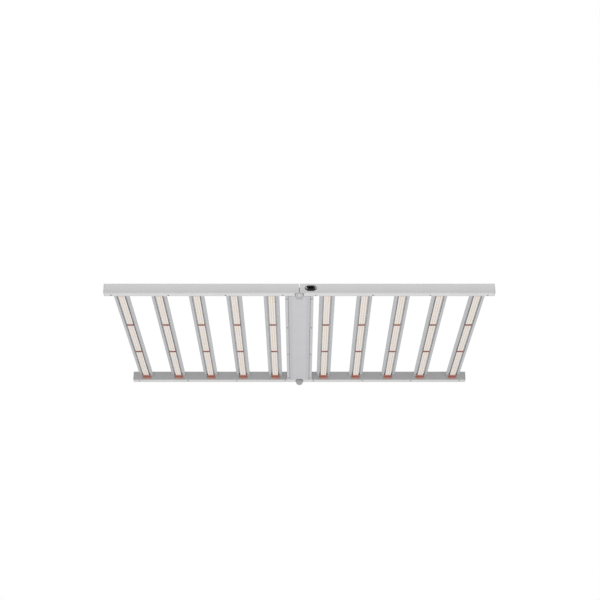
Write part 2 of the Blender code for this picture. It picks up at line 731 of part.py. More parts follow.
def make_power_inlet():
    """The power inlet, drawn as (across, inward from the rail's face, up from its middle)."""
    flange_half = INLET_FLANGE_HEIGHT / 2
    end_half = INLET_END_HEIGHT / 2
    body_half = INLET_BODY_WIDTH / 2
    corners = [
        (body_half, -flange_half), (INLET_FLANGE_WIDTH / 2, -end_half),
        (INLET_FLANGE_WIDTH / 2, end_half), (body_half, flange_half)]
    corners += [(-u, -v) for u, v in corners]
    front = -SEAT_GAP - INLET_FLANGE_THICKNESS
    flange = prism(rounded([(u, v, INLET_CORNER) for u, v in corners]), "y", front, -SEAT_GAP)
    body_up = INLET_BODY_HEIGHT / 2
    body = prism(
        rectangle(-body_half, body_half, -body_up, body_up), "y",
        -SEAT_GAP - INLET_FLANGE_THICKNESS / 2, INLET_BODY_DEPTH)
    wide = body_half - SOCKET_WALL
    high = body_up - SOCKET_WALL
    mouth = [
        (-wide, -high), (wide, -high), (wide, high - SOCKET_CHAMFER),
        (wide - SOCKET_CHAMFER, high), (SOCKET_CHAMFER - wide, high), (-wide, high - SOCKET_CHAMFER)]
    floor = front + SOCKET_DEPTH
    socket = prism(mouth, "y", front - OVERCUT, floor)
    pins = []
    for across, up in ((-PIN_SPREAD, -PIN_OFFSET), (0, PIN_OFFSET), (PIN_SPREAD, -PIN_OFFSET)):
        section = rectangle(
            across - PIN_THICKNESS / 2, across + PIN_THICKNESS / 2, up - PIN_WIDTH / 2, up + PIN_WIDTH / 2)
        pins.append(prism(section, "y", front + PIN_RECESS, floor + OVERCUT))
    return join(cut(join(flange, body), socket), *pins)


def add_rails(assembly):
    """The four half rails with their covers, caps and hanging inserts."""
    for wing in WINGS:
        for side in SIDES:
            assembly.add_corner("rail", make_rail(wing, side), "silver_paint", wing, side)
            assembly.add_corner("rail_cover", make_rail_cover(), "silver_paint", wing, side)
            assembly.add_corner("end_cap", make_end_cap(), "silver_paint", wing, side)
            assembly.add_corner("hanging_insert", make_insert(), "zinc_steel", wing, side)


def add_bars(assembly):
    """The LED bars of both wings, numbered outward from the fold."""
    bar, board, seal = make_bar(), make_led_board(), make_seal()
    for wing, sign in WINGS.items():
        for number, x in enumerate(bar_places(), 1):
            place = (sign * x, 0, BAR_Z)
            assembly.add(f"{wing}_bar_{number}", bar.copy(), "anodised", wing, place)
            assembly.add(f"{wing}_led_board_{number}", board.copy(), "led_board", wing, place)
            assembly.add(f"{wing}_seal_{number}", seal.copy(), "red_silicone", wing, place)


def add_hinges(assembly):
    """The fold hinges, both with their heads in front. Pins and nuts stay with the right wing."""
    fronts = {"front": KNUCKLE_SETBACK - LIGHT_DEPTH / 2, "rear": LIGHT_DEPTH / 2 - KNUCKLE_END}
    for side, front in fronts.items():
        for wing in WINGS:
            assembly.add_corner("hinge_leaf", make_leaf(wing, side), "zinc_steel", wing, side)
        place = (0, front, RAIL_Z)
        assembly.add(f"{side}_hinge_pin", make_hinge_pin(), "zinc_steel", "right", place)
        assembly.add(f"{side}_hinge_nut", make_hinge_nut(), "zinc_steel", "right", place)


def add_driver_box(assembly):
    """The driver box over the fold, carried by the right wing's rails."""
    place = (0, 0, RAIL_Z)
    assembly.add("driver_cover", make_driver_cover(), "silver_paint", "right", place)
    assembly.add("driver_housing", make_driver_housing(), "silver_paint", "right", place)
    assembly.add("led_driver", make_led_driver(), "driver_case", "right", place)
    for side in SIDES:
        assembly.add(f"driver_{side}_end_plate", make_end_plate(side), "silver_paint", "right", place)


def add_power_inlet(assembly):
    """The power inlet in the right front rail's outer face."""
    place = (INLET_X, -LIGHT_DEPTH / 2, RAIL_Z + INLET_UP)
    assembly.add("power_inlet", make_power_inlet(), "black_plastic", "right", place)


def main():
    """Builds the whole light."""
    clear_scene()
    assembly = Assembly()
    add_rails(assembly)
    add_bars(assembly)
    add_hinges(assembly)
    add_driver_box(assembly)
    add_power_inlet(assembly)
    for mesh in [item for item in bpy.data.meshes if item.users == 0]:
        bpy.data.meshes.remove(mesh)


main()
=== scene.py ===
"""Dresses a folding LED grow light: finishes, LED packages, screws and a plain studio.

Metres, +Z up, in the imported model's frame: X runs along the rails, Y along the LED bars, and
the LEDs face down.
"""

import math

import bpy
import numpy as np
from bpy.props import FloatProperty, FloatVectorProperty, IntProperty, PointerProperty
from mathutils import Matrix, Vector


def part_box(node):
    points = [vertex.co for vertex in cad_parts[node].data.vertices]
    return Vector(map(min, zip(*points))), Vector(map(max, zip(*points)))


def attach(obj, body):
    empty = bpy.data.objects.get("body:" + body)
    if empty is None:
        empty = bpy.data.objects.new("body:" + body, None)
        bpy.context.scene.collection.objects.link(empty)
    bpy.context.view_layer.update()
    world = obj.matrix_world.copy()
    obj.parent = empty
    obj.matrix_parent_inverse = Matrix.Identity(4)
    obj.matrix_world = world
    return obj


bl_info = {
    "name": "Folding LED Grow Light",
    "version": (1, 0, 0),
    "blender": (4, 5, 0),
    "location": "View3D > Sidebar > Grow Light",
    "description": "Finishes, LED packages, screws and a studio for a folding LED grow light",
    "category": "Object",
}

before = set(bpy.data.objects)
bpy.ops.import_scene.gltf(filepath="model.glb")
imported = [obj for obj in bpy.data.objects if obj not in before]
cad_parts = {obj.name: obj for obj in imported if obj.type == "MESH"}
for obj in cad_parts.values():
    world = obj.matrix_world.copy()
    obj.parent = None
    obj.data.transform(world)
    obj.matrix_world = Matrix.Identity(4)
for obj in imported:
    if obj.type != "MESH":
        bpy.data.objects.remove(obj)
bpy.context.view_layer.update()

WINGS = ("left", "right")
SIDES = ("front", "rear")
BARS_PER_WING = 5

# A bar's grooves, where shade is painted: from the plate's side to the outer wall, and how far
# above the board's face they reach
GROOVE_INNER = 0.0141
GROOVE_OUTER = 0.0211
GROOVE_SLACK = 0.00003
GROOVE_FADE = 0.003
GROOVE_REACH = 0.0092

# The driver cover's border strips and beads, where shade is painted, as distances from the fold
# and above its face
BORDER_START = 0.030
BORDER_FADE = 0.003
BEAD_INNER = 0.0475
BEAD_OUTER = 0.0495
BEAD_SLACK = 0.0003
BEAD_FADE = 0.0012
BEAD_REACH = 0.0055

# A board's copper tracks as shares of the columns' pitch, and the breaks in them as shares of
# the pitch from break to break
TRACK_HALF = 0.27
TRACK_FADE = 0.03
COLUMNS_PER_BREAK = 3
BREAK_HALF = 0.03
BREAK_FADE = 0.015

# The power inlet's pins: the outer pins' distance from its middle, half of each pin's width and
# height, and how far behind its face they start and end
PIN_SPREAD = 0.007
PIN_HALF_WIDTH = 0.0013
PIN_HALF_HEIGHT = 0.0044
PIN_START = 0.0035
PIN_END = 0.0168

# A screw head's height and the depth of its recess, as shares of its diameter
HEAD_HEIGHT = 0.34
HEAD_RECESS = 0.26

# Every third package has the neutral white, and each strays a little from its own white
NEUTRAL_EVERY = 3
TINT_SPREAD = 0.12

# Seeds of the packages' tints and of the screws' turns
PACKAGE_SEED = 11
SCREW_SEED = 5

# Lamps, as place, point aimed at, and width and depth
STRIP_LAMP = ((0.0, -0.66, 0.08), (0.0, 0.0, 0.08), (2.4, 0.02))
UNDER_LAMP = ((0.0, -0.7, -4.6), (0.0, -0.7, 0.0), (3.0, 3.0))
OVER_LAMP = ((0.0, 2.2, 4.2), (0.0, 0.5, 0.0), (3.0, 3.0))

# The surround's colour, and the width of the camera's sensor in millimetres
WHITE = (1.0, 1.0, 1.0, 1.0)
SENSOR_WIDTH = 36.0

# Turns from a shape drawn facing +Z to the way it faces on the light
FACING = {
    "down": np.array([[1, 0, 0], [0, -1, 0], [0, 0, -1]], float),
    "front": np.array([[1, 0, 0], [0, 0, -1], [0, 1, 0]], float),
}


def corner_nodes(*pieces):
    """The names of these pieces at all four corners of the light."""
    return [f"{wing}_{side}_{piece}" for piece in pieces for wing in WINGS for side in SIDES]


def bar_nodes(piece):
    """The names of one piece of every bar."""
    return [f"{wing}_{piece}_{number}" for wing in WINGS for number in range(1, BARS_PER_WING + 1)]


def middle(node):
    """The middle of a node's box."""
    low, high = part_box(node)
    return (np.array(low) + np.array(high)) / 2


def low_side(node, axis):
    """The low side of a node's box along an axis."""
    return float(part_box(node)[0][axis])


def length_prop(name, description, default):
    """A length in metres."""
    return FloatProperty(
        name=name, description=description, default=default, min=0.0, unit="LENGTH", precision=5)


def share_prop(name, description, default):
    """A share from 0 to 1."""
    return FloatProperty(
        name=name, description=description, default=default, min=0.0, max=1.0, subtype="FACTOR")


def colour_prop(name, description, default):
    """A linear colour."""
    return FloatVectorProperty(
        name=name, description=description, default=default, size=3, min=0.0, max=1.0,
        subtype="COLOR")


def count_prop(name, description, default, least, most):
    """A count between two limits."""
    return IntProperty(name=name, description=description, default=default, min=least, max=most)


def power_prop(name, description, default):
    """A lamp's power in watts."""
    return FloatProperty(
        name=name, description=description, default=default, min=0.0, unit="POWER")


class GrowLightFinishes(bpy.types.PropertyGroup):
    """Colours and surface textures of the light's own pieces."""

    coat: colour_prop("Coat", "Silver powder coat of the rails", (0.58, 0.58, 0.58))
    box_coat: colour_prop(
        "Box coat", "Silver powder coat of the driver box", (0.476, 0.473, 0.493))
    # Border and bead tones are painted shade on the driver cover, beside its beads and in them
    border: share_prop(
        "Border tone", "Tone of the driver cover's border strips next to its middle", 0.93)
    bead_shade: share_prop("Bead tone", "Tone of the driver cover's beads next to its middle", 0.75)
    coat_roughness: share_prop("Coat roughness", "How matt the powder coat is", 0.60)
    coat_grain: length_prop("Coat grain", "Width of one bump of the powder coat", 0.0011)
    anodised: colour_prop("Anodised", "Natural anodising of the LED bars", (0.48, 0.485, 0.495))
    anodised_roughness: share_prop("Anodised roughness", "How matt the anodising is", 0.40)
    # Groove tone is painted shade: the anodising darkened in the grooves, deepest beside the plate
    groove_shade: share_prop("Groove tone", "Tone of a bar's grooves next to its flanges", 0.52)
    die_line: length_prop(
        "Die line", "Width of one line that the extrusion die leaves on a bar", 0.0006)
    silicone: colour_prop("Silicone", "Brick-red silicone of the seals", (0.375, 0.145, 0.108))
    # The strap colour is painted shade: the straps darkened for the shadowed gaps at the board
    # joints
    strap_shade: colour_prop("Strap", "Darker silicone of the seals' straps", (0.237, 0.054, 0.033))
    casting: colour_prop("Casting", "Cast zinc of the hinge leaves", (0.55, 0.55, 0.555))
    zinc: colour_prop(
        "Zinc", "Zinc plating of the hinge pins, nuts and inserts", (0.52, 0.52, 0.525))
    steel: colour_prop("Screw steel", "Blackened steel of the cover screws", (0.22, 0.22, 0.22))
    bright_steel: colour_prop(
        "Bright steel", "Bright steel of the power inlet's screws", (0.85, 0.85, 0.85))
    plastic: colour_prop(
        "Plastic", "Black moulded plastic of the power inlet", (0.010, 0.010, 0.010))
    contact: colour_prop(
        "Contact", "Dull nickel plating of the power inlet's pins", (0.05, 0.047, 0.043))
    driver: colour_prop("Driver case", "Cast case of the LED driver", (0.30, 0.31, 0.32))


class GrowLightLeds(bpy.types.PropertyGroup):
    """LED boards and the packages on them."""

    columns: count_prop("Columns", "Columns of LED packages on a board", 2, 1, 6)
    rows: count_prop("Rows", "Rows of LED packages in a section", 56, 2, 80)
    sections: count_prop("Sections", "Sections between a seal's straps", 3, 1, 6)
    end_cover: length_prop("End cover", "Length of bar under one of the seal's end plugs", 0.029)
    joint_cover: length_prop("Joint cover", "Length of bar under one of the seal's straps", 0.011)
    column_pitch: length_prop("Column pitch", "Distance between columns of packages", 0.010)
    width: length_prop("Package width", "Width of one package", 0.0034)
    height: length_prop("Package height", "Height of one package above the board", 0.0007)
    mask: colour_prop("Solder mask", "White solder mask of the boards", (0.715, 0.665, 0.64))
    track: colour_prop(
        "Tracks", "Copper tracks as they show through the mask", (0.64, 0.585, 0.545))
    resin: colour_prop("Resin", "White resin round each package", (0.73, 0.70, 0.67))
    warm: colour_prop("Warm phosphor", "Phosphor of the warm white packages", (0.68, 0.49, 0.22))
    neutral: colour_prop(
        "Neutral phosphor", "Phosphor of the neutral white packages", (0.72, 0.61, 0.35))


class GrowLightScrews(bpy.types.PropertyGroup):
    """Sizes and places of the screws."""

    rail_head: length_prop("Rail screw head", "Diameter of a rail cover screw's head", 0.007)
    rail_first: length_prop(
        "First rail screw", "Distance of the first rail cover screw from the fold", 0.072)
    rail_pitch: length_prop("Rail screw pitch", "Distance between rail cover screws", 0.249)
    rail_count: count_prop("Rail screws", "Screws along one rail cover", 4, 1, 9)
    rail_inset: length_prop(
        "Rail screw inset", "Distance of the screws from the rail's outer face", 0.0235)
    box_head: length_prop("Box screw head", "Diameter of a driver cover screw's head", 0.0070)
    box_across: length_prop(
        "Box screw offset", "Distance of the driver cover's screws from the fold", 0.055)
    box_inner: length_prop(
        "Inner box screws", "Distance of the inner pairs from the middle", 0.165)
    box_outer: length_prop(
        "Outer box screws", "Distance of the outer pairs from the middle", 0.488)
    inlet_head: length_prop("Inlet screw head", "Diameter of a power inlet screw's head", 0.0040)
    inlet_spread: length_prop(
        "Inlet screw spread", "Distance between the power inlet's screws", 0.040)


class GrowLightStudio(bpy.types.PropertyGroup):
    """Floor, light and camera."""

    floor_level: FloatProperty(
        name="Floor level", description="Height of the floor", default=-4.8, unit="LENGTH")
    floor_radius: length_prop("Floor radius", "Radius at which the floor has faded out", 9.0)
    floor_colour: colour_prop("Floor colour", "Pale floor", (0.86, 0.86, 0.86))
    surround: FloatProperty(
        name="Surround", description="Light from all round", default=0.42, min=0.0)
    strip_power: power_prop("Strip power", "Power of the strip lamp before the front rail", 0.9)
    under_power: power_prop("Under power", "Power of the soft lamp below the light", 174.0)
    over_power: power_prop(
        "Over power", "Power of the soft lamp above and behind the light", 170.0)
    camera_place: FloatVectorProperty(
        name="Camera place", description="Where the camera stands",
        default=(0.003, -5.425, -2.2075), size=3, subtype="TRANSLATION", unit="LENGTH")
    camera_pitch: FloatProperty(
        name="Camera pitch", description="How far the camera looks up",
        default=math.radians(24.3), subtype="ANGLE", unit="ROTATION")
    camera_lens: FloatProperty(
        name="Camera lens", description="Focal length", default=74.28, min=1.0, unit="CAMERA")


class Graph:
    """Adds nodes to one node tree and links them."""

    def __init__(self, tree):
        self.tree = tree
        tree.nodes.clear()

    def add(self, kind, inputs=(), **settings):
        """A node with its settings, and its inputs linked or set by name or place."""
        node = self.tree.nodes.new(kind if kind.startswith("Node") else "ShaderNode" + kind)
        for name, value in settings.items():
            setattr(node, name, value)
        for name, value in dict(inputs).items():
            if isinstance(value, bpy.types.NodeSocket):
                self.feed(node, name, value)
            else:
                node.inputs[name].default_value = value
        return node

    def feed(self, node, name, value):
        """Links a value to a node's input."""
        self.tree.links.new(value, node.inputs[name])

    def maths(self, operation, *values):
        """The result of a Math node."""
        return self.add("Math", enumerate(values), operation=operation).outputs[0]

    def product(self, first, *others):
        """Values multiplied together."""
        for other in others:
            first = self.maths("MULTIPLY", first, other)
        return first

    def away(self, value, centre):
        """How far a value lies from another, to either side."""
        return self.maths("ABSOLUTE", self.maths("SUBTRACT", value, centre))

    def between(self, value, low, high):
        """1 where a value lies between two limits, and 0 elsewhere."""
        return self.product(
            self.maths("GREATER_THAN", value, low), self.maths("LESS_THAN", value, high))

    def vector(self, operation, *values):
        """The vector that a Vector Math node puts out."""
        return self.add("VectorMath", enumerate(values), operation=operation).outputs["Vector"]

    def split(self, vector):
        """A vector's parts along X, Y and Z."""
        return self.add("SeparateXYZ", {0: vector}).outputs

    def spread(self, value, low, high, to_low=0.0, to_high=1.0):
        """A value stretched from one range to another, and held inside it."""
        return self.add("MapRange", enumerate((value, low, high, to_low, to_high))).outputs[0]

    def blend(self, share, first, second):
        """A colour between two colours."""
        return self.add("Mix", {0: share, 6: first, 7: second}, data_type="RGBA").outputs[2]

    def tones(self, share, colour, dark, light):
        """A colour between two tones of one colour."""
        return self.blend(share, shade(colour, dark), shade(colour, light))

    def touch(self, colour, mask, strength, other):
        """A colour moved part of the way to another where a mask is 1."""
        return self.blend(self.maths("MULTIPLY", mask, strength), colour, other)

    def noise(self, vector, scale, detail=2.0, **more):
        """A noise value from 0 to 1."""
        values = {"Vector": vector, "Scale": scale, "Detail": detail, **more}
        return self.add("TexNoise", values).outputs[0]

    def place(self):
        """The point on the surface, in the light's frame at rest."""
        return self.add("TexCoord").outputs["Object"]

    def use(self, name, **inputs):
        """The outputs of a shared group, with its inputs set or linked."""
        return self.add("Group", inputs, node_tree=group(name)).outputs

    def smudge(self, point, size):
        """Where hands and cloths have been, in smudges of about one size."""
        return self.use("handling", Point=point, Size=size)["Smudge"]

    def roughen(self, shader, mask, start, end, low=0.0, high=1.0):
        """Feeds a roughness that goes from start to end while a mask goes from low to high."""
        self.feed(shader, "Roughness", self.spread(mask, low, high, start, end))

    def bump(self, shader, height, distance, strength, **normal):
        """Feeds a bump to a shader's normal, on top of another normal if one is given."""
        values = {"Height": height, "Distance": distance, "Strength": strength, **normal}
        self.feed(shader, "Normal", self.add("Bump", values).outputs[0])


def shared_group(name, inputs, outputs):
    """A new node group with named sockets, as (group, graph, its inputs, its output node)."""
    tree = bpy.data.node_groups.new(name, "ShaderNodeTree")
    for label, (kind, default) in inputs.items():
        socket = tree.interface.new_socket(
            label, in_out="INPUT", socket_type="NodeSocket" + kind)
        if default is not None:
            socket.default_value = default
    for label, kind in outputs.items():
        tree.interface.new_socket(label, in_out="OUTPUT", socket_type="NodeSocket" + kind)
    graph = Graph(tree)
    return tree, graph, graph.add("NodeGroupInput").outputs, graph.add("NodeGroupOutput")


def powder_group():
    """Powder coat: fine bumps, bright flakes and slow mottling, from three sizes of noise."""
    flake_fineness, mottles_per_metre = 3.7, 9.0
    tree, graph, given, out = shared_group(
        "powder coat",
        {"Point": ("Vector", None), "Grain": ("Float", 0.001)},
        {"Height": "Float", "Flake": "Float", "Mottle": "Float"})
    scale = graph.maths("DIVIDE", 1.0, given["Grain"])
    fine_scale = graph.maths("MULTIPLY", scale, flake_fineness)
    flakes = graph.noise(given["Point"], fine_scale, detail=0.0)
    slow = graph.noise(given["Point"], mottles_per_metre, detail=3.0)
    graph.feed(out, "Height", graph.noise(given["Point"], scale, detail=1.0))
    graph.feed(out, "Flake", graph.spread(flakes, low=0.62, high=0.78))
    graph.feed(out, "Mottle", graph.spread(slow, low=0.3, high=0.7))
    return tree


def die_group():
    """Die lines: noise that is fine across the extrusion and drawn out along Y."""
    band_scale = (0.09, 0.6, 0.09)
    tree, graph, given, out = shared_group(
        "die lines",
        {"Point": ("Vector", None), "Line": ("Float", 0.0006), "Run": ("Float", 0.35)},
        {"Lines": "Float", "Bands": "Float"})
    across = graph.maths("DIVIDE", 1.0, given["Line"])
    along = graph.maths("DIVIDE", 1.0, given["Run"])
    stretch = graph.add("CombineXYZ", {0: across, 1: along, 2: across}).outputs[0]
    drawn = graph.vector("MULTIPLY", given["Point"], stretch)
    bands = graph.noise(graph.vector("MULTIPLY", drawn, band_scale), scale=1.0, detail=1.0)
    graph.feed(out, "Lines", graph.noise(drawn, scale=1.0, detail=2.0, Roughness=0.6))
    graph.feed(out, "Bands", graph.spread(bands, low=0.3, high=0.7))
    return tree


def edge_group():
    """Softened edges: a normal rounded over a radius, and how far it leaves the flat normal."""
    tree, graph, given, out = shared_group(
        "softened edges", {"Radius": ("Float", 0.0008)}, {"Normal": "Vector", "Edge": "Float"})
    rounded = graph.add("Bevel", {"Radius": given["Radius"]}, samples=4).outputs[0]
    flat = graph.add("NewGeometry").outputs["True Normal"]
    alike = graph.add("VectorMath", {0: rounded, 1: flat}, operation="DOT_PRODUCT").outputs["Value"]
    graph.feed(out, "Normal", rounded)
    graph.feed(out, "Edge", graph.spread(alike, low=0.985, high=0.80))
    return tree


def handling_group():
    """Handling: soft smudges where hands and cloths have been, from warped noise."""
    tree, graph, given, out = shared_group(
        "handling", {"Point": ("Vector", None), "Size": ("Float", 0.05)}, {"Smudge": "Float"})
    scale = graph.maths("DIVIDE", 1.0, given["Size"])
    warp = graph.noise(given["Point"], scale, detail=4.0, Distortion=1.2)
    graph.feed(out, "Smudge", graph.spread(warp, low=0.42, high=0.68))
    return tree


def bar_group():
    """Place on a bar: across from its own middle, by the bars' even pitch, along and up."""
    first, second = middle("right_bar_1")[0], middle("right_bar_2")[0]
    pitch = float(second - first)
    tree, graph, given, out = shared_group(
        "place on bar", {"Point": ("Vector", None)},
        {"Across": "Float", "Along": "Float", "Up": "Float"})
    x, y, z = graph.split(given["Point"])
    outward = graph.maths("SUBTRACT", graph.maths("ABSOLUTE", x), float(first) - pitch / 2)
    across = graph.maths("SUBTRACT", graph.maths("FLOORED_MODULO", outward, pitch), pitch / 2)
    graph.feed(out, "Across", across)
    graph.feed(out, "Along", y)
    graph.feed(out, "Up", z)
    return tree


GROUP_MAKERS = {
    "powder coat": powder_group,
    "die lines": die_group,
    "softened edges": edge_group,
    "handling": handling_group,
    "place on bar": bar_group,
}


def group(name):
    """A shared group, built the first time that a finish asks for it."""
    return bpy.data.node_groups.get(name) or GROUP_MAKERS[name]()


def shade(colour, factor=1.0):
    """A colour made lighter or darker, with an alpha of 1."""
    return (*(min(1.0, part * factor) for part in colour), 1.0)


def new_finish(name, values):
    """A material with one Principled shader, as (material, graph, shader)."""
    material = bpy.data.materials.new(name)
    material.use_nodes = True
    graph = Graph(material.node_tree)
    shader = graph.add("BsdfPrincipled", values)
    graph.add("OutputMaterial", {"Surface": shader.outputs[0]})
    return material, graph, shader


def paint_cover_shade(graph, point, colour, finishes):
    """The driver cover's colour with painted shade on its border strips, and deeper painted shade
    in its beads.
    """
    x, _, z = graph.split(point)
    across = graph.maths("ABSOLUTE", x)
    face = low_side("driver_cover", 2)
    low = graph.maths("LESS_THAN", z, face + BEAD_REACH)
    border = graph.product(
        graph.spread(across, BORDER_START, BORDER_START + BORDER_FADE), low,
        graph.spread(across, BEAD_INNER, BEAD_INNER - BEAD_SLACK))
    bead_shade = graph.product(
        graph.between(across, BEAD_INNER - BEAD_SLACK, BEAD_OUTER + BEAD_SLACK), low,
        graph.spread(z, face, face + BEAD_FADE))
    colour = graph.blend(border, colour, shade(finishes.box_coat, finishes.border))
    return graph.blend(bead_shade, colour, shade(finishes.box_coat, finishes.bead_shade))


def powder_finish(name, coat_colour, finishes, shade_painter=None):
    """Silver powder coat: fine bumps, faint flakes, lighter edges and a few smudges.

    An optional function paints shade into the colour by the place on the piece.
    """
    material, graph, shader = new_finish(name, {"Specular IOR Level": 0.3})
    point = graph.place()
    coat = graph.use("powder coat", Point=point, Grain=finishes.coat_grain)
    edges = graph.use("softened edges", Radius=0.0007)
    colour = graph.tones(coat["Mottle"], coat_colour, dark=0.975, light=1.02)
    colour = graph.touch(colour, coat["Flake"], strength=0.3, other=shade(coat_colour, 1.15))
    colour = graph.touch(colour, edges["Edge"], strength=0.35, other=shade(coat_colour, 1.18))
    if shade_painter is not None:
        colour = shade_painter(graph, point, colour, finishes)
    graph.feed(shader, "Base Color", colour)
    rough = finishes.coat_roughness
    graph.roughen(shader, graph.smudge(point, size=0.08), start=rough + 0.04, end=rough - 0.05)
    graph.bump(
        shader, coat["Height"], distance=0.00008, strength=0.35, Normal=edges["Normal"])
    return material


def groove_painted_shade(graph, point):
    """How deep in shade a point lies in one of a bar's two grooves, from 0 to 1.

    It is the square of the share of the way from its outer wall to the board's plate, and fades
    in above the board's face. The shade is painted into the colour.
    """
    bar = graph.use("place on bar", Point=point)
    across = graph.maths("ABSOLUTE", bar["Across"])
    board_face = low_side("right_led_board_1", 2)
    beside = graph.spread(across, GROOVE_OUTER, GROOVE_INNER)
    return graph.product(
        graph.between(across, GROOVE_INNER - GROOVE_SLACK, GROOVE_OUTER + GROOVE_SLACK),
        graph.spread(bar["Up"], board_face, board_face + GROOVE_FADE),
        graph.maths("LESS_THAN", bar["Up"], board_face + GROOVE_REACH), beside, beside)


def anodised_finish(finishes):
    """Natural anodising: die lines along the bar, slow bands, bright edges and painted groove
    shade.
    """
    material, graph, shader = new_finish("anodised_extrusion", {"Metallic": 0.55})
    base, rough = finishes.anodised, finishes.anodised_roughness
    point = graph.place()
    lines = graph.use("die lines", Point=point, Line=finishes.die_line, Run=0.35)
    edges = graph.use("softened edges", Radius=0.0005)
    colour = graph.tones(lines["Bands"], base, dark=0.95, light=1.04)
    colour = graph.touch(colour, lines["Lines"], strength=0.25, other=shade(base, 0.86))
    colour = graph.touch(colour, edges["Edge"], strength=0.4, other=shade(base, 1.22))
    # Painted shade in the grooves, darkest beside the board's plate and deeper in
    colour = graph.blend(groove_painted_shade(graph, point), colour, shade(base, finishes.groove_shade))
    graph.feed(shader, "Base Color", colour)
    lined = graph.spread(lines["Lines"], 0.25, 0.75, to_low=rough - 0.06, to_high=rough + 0.08)
    polish = -0.06
    smudge = graph.smudge(point, size=0.06)
    graph.feed(shader, "Roughness", graph.maths("MULTIPLY_ADD", smudge, polish, lined))
    graph.bump(shader, lines["Lines"], distance=0.00004, strength=0.6, Normal=edges["Normal"])
    return material


def from_middle(graph, value, pitch):
    """How far a value lies from the middle of its pitch, as a share of the pitch."""
    return graph.away(graph.maths("FRACT", graph.maths("DIVIDE", value, pitch)), 0.5)


def board_finish(leds):
    """White solder mask over raised copper tracks, with breaks between the packages' pads."""
    material, graph, shader = new_finish("white_solder_mask", {"Specular IOR Level": 0.4})
    grain_height = 0.3
    point = graph.place()
    bar = graph.use("place on bar", Point=point)
    smudge = graph.smudge(point, size=0.03)
    column = from_middle(graph, bar["Across"], leds.column_pitch)
    row = from_middle(graph, bar["Along"], COLUMNS_PER_BREAK * leds.column_pitch)
    track = graph.product(
        graph.spread(column, TRACK_HALF + TRACK_FADE, TRACK_HALF),
        graph.spread(row, BREAK_HALF, BREAK_HALF + BREAK_FADE))
    colour = graph.blend(track, shade(leds.mask), shade(leds.track))
    colour = graph.touch(colour, smudge, strength=0.25, other=shade(leds.mask, 0.95))
    graph.feed(shader, "Base Color", colour)
    graph.roughen(shader, smudge, start=0.52, end=0.42)
    grain = graph.noise(point, scale=1500.0, detail=1.0)
    height = graph.maths("MULTIPLY_ADD", grain, grain_height, track)
    graph.bump(shader, height, distance=0.00006, strength=0.7)
    return material


def resin_finish(leds):
    """White resin of the packages, with a faint speckle."""
    material, graph, shader = new_finish("package_resin", {"Specular IOR Level": 0.45})
    speck = graph.noise(graph.place(), scale=900.0)
    graph.feed(shader, "Base Color", graph.tones(speck, leds.resin, dark=0.96, light=1.04))
    graph.roughen(shader, speck, start=0.40, end=0.52, low=0.2, high=0.8)
    return material


def phosphor_finish(leds):
    """Phosphor gel in two whites, by each package's own tint, with settled grains."""
    material, graph, shader = new_finish("phosphor_gel", {"Specular IOR Level": 0.5})
    tint = graph.add("Attribute", attribute_name="tint").outputs["Fac"]
    grains = graph.noise(graph.place(), scale=2600.0)
    colour = graph.blend(tint, shade(leds.warm), shade(leds.neutral))
    darker = graph.blend(tint, shade(leds.warm, 0.86), shade(leds.neutral, 0.90))
    settled = graph.spread(grains, low=0.35, high=0.7)
    graph.feed(shader, "Base Color", graph.blend(settled, colour, darker))
    graph.roughen(shader, grains, start=0.22, end=0.34, low=0.2, high=0.8)
    graph.bump(shader, grains, distance=0.00003, strength=0.5)
    return material


def silicone_finish(finishes):
    """Brick-red silicone: slow mottling, straps darkened with painted shade, a fine matt skin and
    dust on it.
    """
    material, graph, shader = new_finish("red_silicone", {"Specular IOR Level": 0.35})
    dust_colour = (0.55, 0.45, 0.40)
    point = graph.place()
    dust = graph.smudge(point, size=0.012)
    mottle = graph.spread(graph.noise(point, scale=60.0, detail=3.0), low=0.3, high=0.7)
    colour = graph.tones(mottle, finishes.silicone, dark=0.90, light=1.08)
    # Straps near the middle take a darker tone: painted shade of the gaps at the board joints
    along = graph.maths("ABSOLUTE", graph.split(point)[1])
    strap_shade = graph.maths("LESS_THAN", along, float(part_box("right_bar_1")[1][1]) / 2)
    colour = graph.blend(strap_shade, colour, shade(finishes.strap_shade))
    colour = graph.touch(colour, dust, strength=0.10, other=shade(dust_colour))
    graph.feed(shader, "Base Color", colour)
    graph.roughen(shader, dust, start=0.50, end=0.66)
    skin = graph.noise(point, scale=1800.0)
    graph.bump(shader, skin, distance=0.00008, strength=0.5)
    return material


def faces_to_y(graph):
    """1 on faces turned square to Y, and 0 on all others."""
    nearly_square = 0.9
    facing = graph.split(graph.add("TexCoord").outputs["Normal"])[1]
    return graph.maths("GREATER_THAN", graph.maths("ABSOLUTE", facing), nearly_square)


def plated_finish(name, colour, line, metallic=0.9, rough=0.37, cast=1.0):
    """Plated, blackened or bright steel, or a zinc casting.

    It has turned marks of one line's width, a faint spangle and bright edges. The cast factor
    darkens all faces but those square to Y.
    """
    material, graph, shader = new_finish(name, {"Metallic": metallic})
    rough_spread = 0.07
    point = graph.place()
    spangle = graph.add("TexVoronoi", {"Vector": point, "Scale": 420.0}).outputs["Color"]
    edges = graph.use("softened edges", Radius=0.0004)
    marks = graph.use("die lines", Point=point, Line=line, Run=0.01)["Lines"]
    base = graph.tones(graph.split(spangle)[0], colour, dark=0.93, light=1.06)
    # Darker on all faces but those square to Y, by the cast factor
    if cast < 1.0:
        base = graph.blend(faces_to_y(graph), shade(colour, cast), base)
    base = graph.touch(base, edges["Edge"], strength=0.5, other=shade(colour, 1.3))
    graph.feed(shader, "Base Color", base)
    smudge = graph.smudge(point, size=0.01)
    graph.roughen(shader, smudge, start=rough - rough_spread, end=rough + rough_spread)
    graph.bump(shader, marks, distance=0.00003, strength=0.5, Normal=edges["Normal"])
    return material


